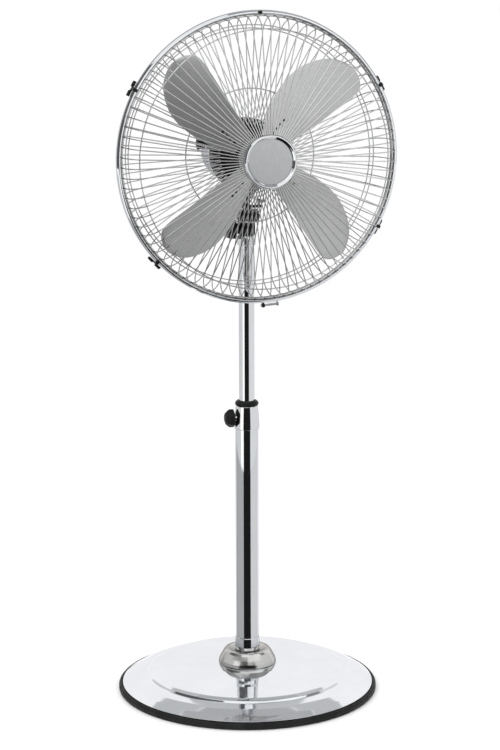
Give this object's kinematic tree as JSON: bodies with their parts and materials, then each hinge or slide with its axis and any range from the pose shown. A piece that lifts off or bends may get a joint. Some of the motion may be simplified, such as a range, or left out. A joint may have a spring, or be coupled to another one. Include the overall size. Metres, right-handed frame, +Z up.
{
  "type": "pedestal fan",
  "caption": "Chrome pedestal fan with a round weighted base, telescopic pole, tilting and oscillating head, domed wire guards and paddle blades.",
  "frame": {"origin": "on the floor, at the centre of the round base, on the pole's axis", "axes": "+Z up along the pole; the fan blows towards -Y; +X is the tilt hinge's axis"},
  "size_m": [0.428, 0.4, 1.042],
  "materials": {
    "chrome": "polished plating",
    "nickel": "bright pressed cover",
    "satin_aluminium": "satin sheet with radial brushing",
    "satin_badge": "satin disc",
    "steel": "zinc plated",
    "brass": "machined",
    "copper": "lacquered winding",
    "cast_iron": "raw casting",
    "black_plastic": "moulded, semi-gloss",
    "rubber": "matt extrusion",
    "nylon": "moulded"
  },
  "bodies": {
    "base": {"base_cover": "chrome", "base_weight": "cast_iron", "base_rubber_ring": "rubber", "base_escutcheon": "nickel", "pole_foot_sleeve": "chrome", "outer_pole": "chrome", "pole_foot_plug": "steel", "base_bolt": "steel", "collar_sleeve": "chrome", "collar_ring": "black_plastic", "pole_guide_bush": "nylon"},
    "height_clamp": {"clamp_knob": "black_plastic", "clamp_screw": "steel"},
    "riser": {"inner_pole": "chrome", "inner_pole_bush": "nylon", "pole_top_collar": "chrome", "neck_yoke": "black_plastic", "tilt_bolt": "steel", "switch_housing": "black_plastic", "cable_gland": "black_plastic"},
    "speed_control": {"speed_knob": "black_plastic"},
    "tilt_lock": {"tilt_lock_knob": "black_plastic"},
    "tilt_neck": {"tilt_bracket": "black_plastic"},
    "head": {"motor_front_cover": "black_plastic", "swivel_pin": "steel", "motor_housing": "chrome", "stator": "copper", "front_bearing": "brass", "rear_bearing": "brass", "gearbox_case": "black_plastic", "rear_guard_side": "chrome", "rear_guard_face": "chrome", "rear_guard_middle_ring": "chrome", "rear_guard_nut": "black_plastic", "front_guard_side": "chrome", "front_guard_face": "chrome", "badge_back_plate": "chrome", "badge_bezel": "chrome", "badge_disc": "satin_badge", "guard_trim_ring": "chrome", "lock_screw": "steel", "lock_nut": "black_plastic", "guard_top_hook": "black_plastic"},
    "oscillation_switch": {"oscillation_knob": "black_plastic"},
    "crank": {"worm_gear": "brass", "crank_disc": "steel"},
    "link": {"link_arm": "steel"},
    "fan_rotor": {"motor_shaft": "steel", "rotor": "cast_iron", "blade_spider": "satin_aluminium", "blade_1": "satin_aluminium", "blade_2": "satin_aluminium", "blade_3": "satin_aluminium", "blade_4": "satin_aluminium", "blade_nut": "black_plastic"},
    "clip_1": {"guard_clip_1": "black_plastic"},
    "clip_2": {"guard_clip_2": "black_plastic"},
    "clip_3": {"guard_clip_3": "black_plastic"},
    "clip_4": {"guard_clip_4": "black_plastic"}
  },
  "joints": [
    {"name": "height_slide", "type": "slide", "parent": "base", "child": "riser", "axis": [0, 0, 1], "range_m": [-0.15, 0.12]},
    {"name": "height_clamp_turn", "type": "hinge", "parent": "base", "child": "height_clamp", "pos_m": [-0.021, 0, 0.428], "axis": [-1, 0, 0], "range_deg": [0, 360]},
    {"name": "speed_turn", "type": "hinge", "parent": "riser", "child": "speed_control", "pos_m": [-0.026, 0.016, 0.717], "axis": [-1, 0, 0], "range_deg": [0, 135]},
    {"name": "tilt_lock_turn", "type": "hinge", "parent": "riser", "child": "tilt_lock", "pos_m": [0.0115, 0, 0.737], "axis": [1, 0, 0], "range_deg": [0, 360]},
    {"name": "tilt", "type": "hinge", "parent": "riser", "child": "tilt_neck", "pos_m": [0, 0, 0.737], "axis": [-1, 0, 0], "range_deg": [-4, 25]},
    {"name": "oscillation", "type": "hinge", "parent": "tilt_neck", "child": "head", "pos_m": [0, 0.001, 0.762], "axis": [0, 0, 1], "range_deg": [-40, 40]},
    {"name": "oscillation_pull", "type": "slide", "parent": "head", "child": "oscillation_switch", "axis": [-1, 0, 0], "range_m": [0, 0.008]},
    {"name": "crank_turn", "type": "hinge", "parent": "head", "child": "crank", "pos_m": [0.011, 0.08, 0.763], "axis": [0, 0, 1], "range_deg": [-90, 90]},
    {"name": "link_turn", "type": "hinge", "parent": "crank", "child": "link", "pos_m": [0.024, 0.08, 0.7575], "axis": [0, 0, 1], "range_deg": [-90, 90]},
    {"name": "fan_spin", "type": "hinge", "parent": "head", "child": "fan_rotor", "pos_m": [0, -0.064, 0.828], "axis": [0, -1, 0], "continuous": true},
    {"name": "clip_1_open", "type": "hinge", "parent": "head", "child": "clip_1", "pos_m": [0.18874, -0.056, 0.93262], "axis": [-0.4848, 0, 0.8746], "range_deg": [0, 100]},
    {"name": "clip_2_open", "type": "hinge", "parent": "head", "child": "clip_2", "pos_m": [-0.18874, -0.056, 0.93262], "axis": [-0.4848, 0, -0.8746], "range_deg": [0, 100]},
    {"name": "clip_3_open", "type": "hinge", "parent": "head", "child": "clip_3", "pos_m": [-0.15783, -0.056, 0.68083], "axis": [0.682, 0, -0.7314], "range_deg": [0, 100]},
    {"name": "clip_4_open", "type": "hinge", "parent": "head", "child": "clip_4", "pos_m": [0.18689, -0.056, 0.7201], "axis": [0.5, 0, 0.866], "range_deg": [0, 100]}
  ],
  "couplings": [
    {"joint": "crank_turn", "follows": "oscillation", "ratio": -2.25},
    {"joint": "link_turn", "follows": "oscillation", "ratio": 2.25}
  ]
}
